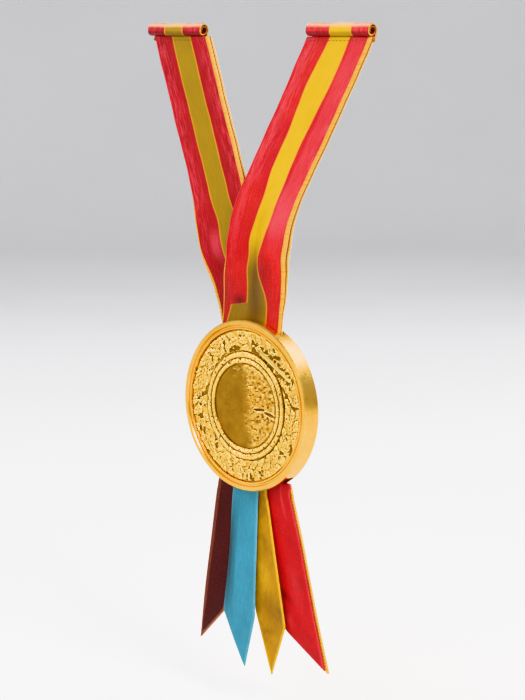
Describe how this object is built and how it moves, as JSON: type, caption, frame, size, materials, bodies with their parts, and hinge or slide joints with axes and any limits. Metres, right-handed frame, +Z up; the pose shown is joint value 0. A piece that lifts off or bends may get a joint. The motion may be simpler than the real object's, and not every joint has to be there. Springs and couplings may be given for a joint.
{
  "type": "award medal",
  "caption": "Round gilt medal with a leafy wreath relief, hung by its top slot from a V of striped ribbon arms ending in sewn hems, with coloured ribbon tails fanned out below it.",
  "frame": {"origin": "centre of the medal's flat back, on the outside of the back cover", "axes": "+Z up along the hanging medal, from tails to hems; +Y out of the medal's back; the medal's face looks along -Y"},
  "size_m": [0.1242, 0.0105, 0.2642],
  "materials": {
    "cast_gold": "satin gilt casting",
    "ornament_gold": "gilt relief with darker hollows",
    "disc_gold": "darker matte gilt",
    "screw_gold": "gilt screws",
    "pin_steel": "bright drawn pin",
    "striped_ribbon": "satin ribbon, red with a yellow centre stripe",
    "gold_binding": "satin binding",
    "stitch_thread": "sewing thread",
    "header_tape": "cotton tape",
    "dark_red_ribbon": "satin ribbon",
    "tan_backing": "satin ribbon",
    "blue_ribbon": "satin ribbon",
    "yellow_ribbon": "satin ribbon",
    "red_ribbon": "satin ribbon",
    "gold_backing": "satin ribbon"
  },
  "bodies": {
    "ribbons": {"left_arm_front": "striped_ribbon", "left_arm_back": "striped_ribbon", "left_arm_inner_binding": "gold_binding", "left_arm_outer_binding": "gold_binding", "right_arm_front": "striped_ribbon", "right_arm_back": "striped_ribbon", "right_arm_inner_binding": "gold_binding", "right_arm_outer_binding": "gold_binding", "left_hem": "striped_ribbon", "right_hem": "striped_ribbon", "left_hem_stitches": "stitch_thread", "right_hem_stitches": "stitch_thread", "arm_seam": "striped_ribbon"},
    "medal": {"medal_case": "cast_gold", "wreath_ring": "ornament_gold", "centre_bezel": "ornament_gold", "centre_disc": "disc_gold", "back_cover": "cast_gold", "cover_screws": "screw_gold", "neck_bar": "pin_steel", "tail_bar": "pin_steel", "neck_loop": "striped_ribbon", "tail_header": "header_tape", "root_red_left": "dark_red_ribbon", "root_blue": "blue_ribbon", "root_yellow": "yellow_ribbon", "root_red_right": "red_ribbon"},
    "left_tail": {"tail_red_left": "dark_red_ribbon", "tail_red_left_backing": "tan_backing"},
    "blue_tail": {"tail_blue": "blue_ribbon"},
    "yellow_tail": {"tail_yellow": "yellow_ribbon"},
    "right_tail": {"tail_red_right": "red_ribbon", "tail_red_right_backing": "gold_backing"}
  },
  "joints": [
    {"name": "medal_swing", "type": "hinge", "parent": "ribbons", "child": "medal", "pos_m": [0, -0.0027, 0.0361], "axis": [1, 0, 0], "range_deg": [-40, 40]},
    {"name": "left_tail_swing", "type": "hinge", "parent": "medal", "child": "left_tail", "pos_m": [-0.0127, -0.002, -0.03545], "axis": [1, 0, 0], "range_deg": [0, 60]},
    {"name": "blue_tail_swing", "type": "hinge", "parent": "medal", "child": "blue_tail", "pos_m": [-0.0019, -0.0046, -0.03545], "axis": [1, 0, 0], "range_deg": [-60, 0]},
    {"name": "yellow_tail_swing", "type": "hinge", "parent": "medal", "child": "yellow_tail", "pos_m": [0.0022, -0.0034, -0.03545], "axis": [1, 0, 0], "range_deg": [-30, 0]},
    {"name": "right_tail_swing", "type": "hinge", "parent": "medal", "child": "right_tail", "pos_m": [0.0145, -0.002, -0.03545], "axis": [1, 0, 0], "range_deg": [0, 60]}
  ],
  "couplings": [
    {"joint": "yellow_tail_swing", "follows": "blue_tail_swing", "ratio": 0.5}
  ]
}
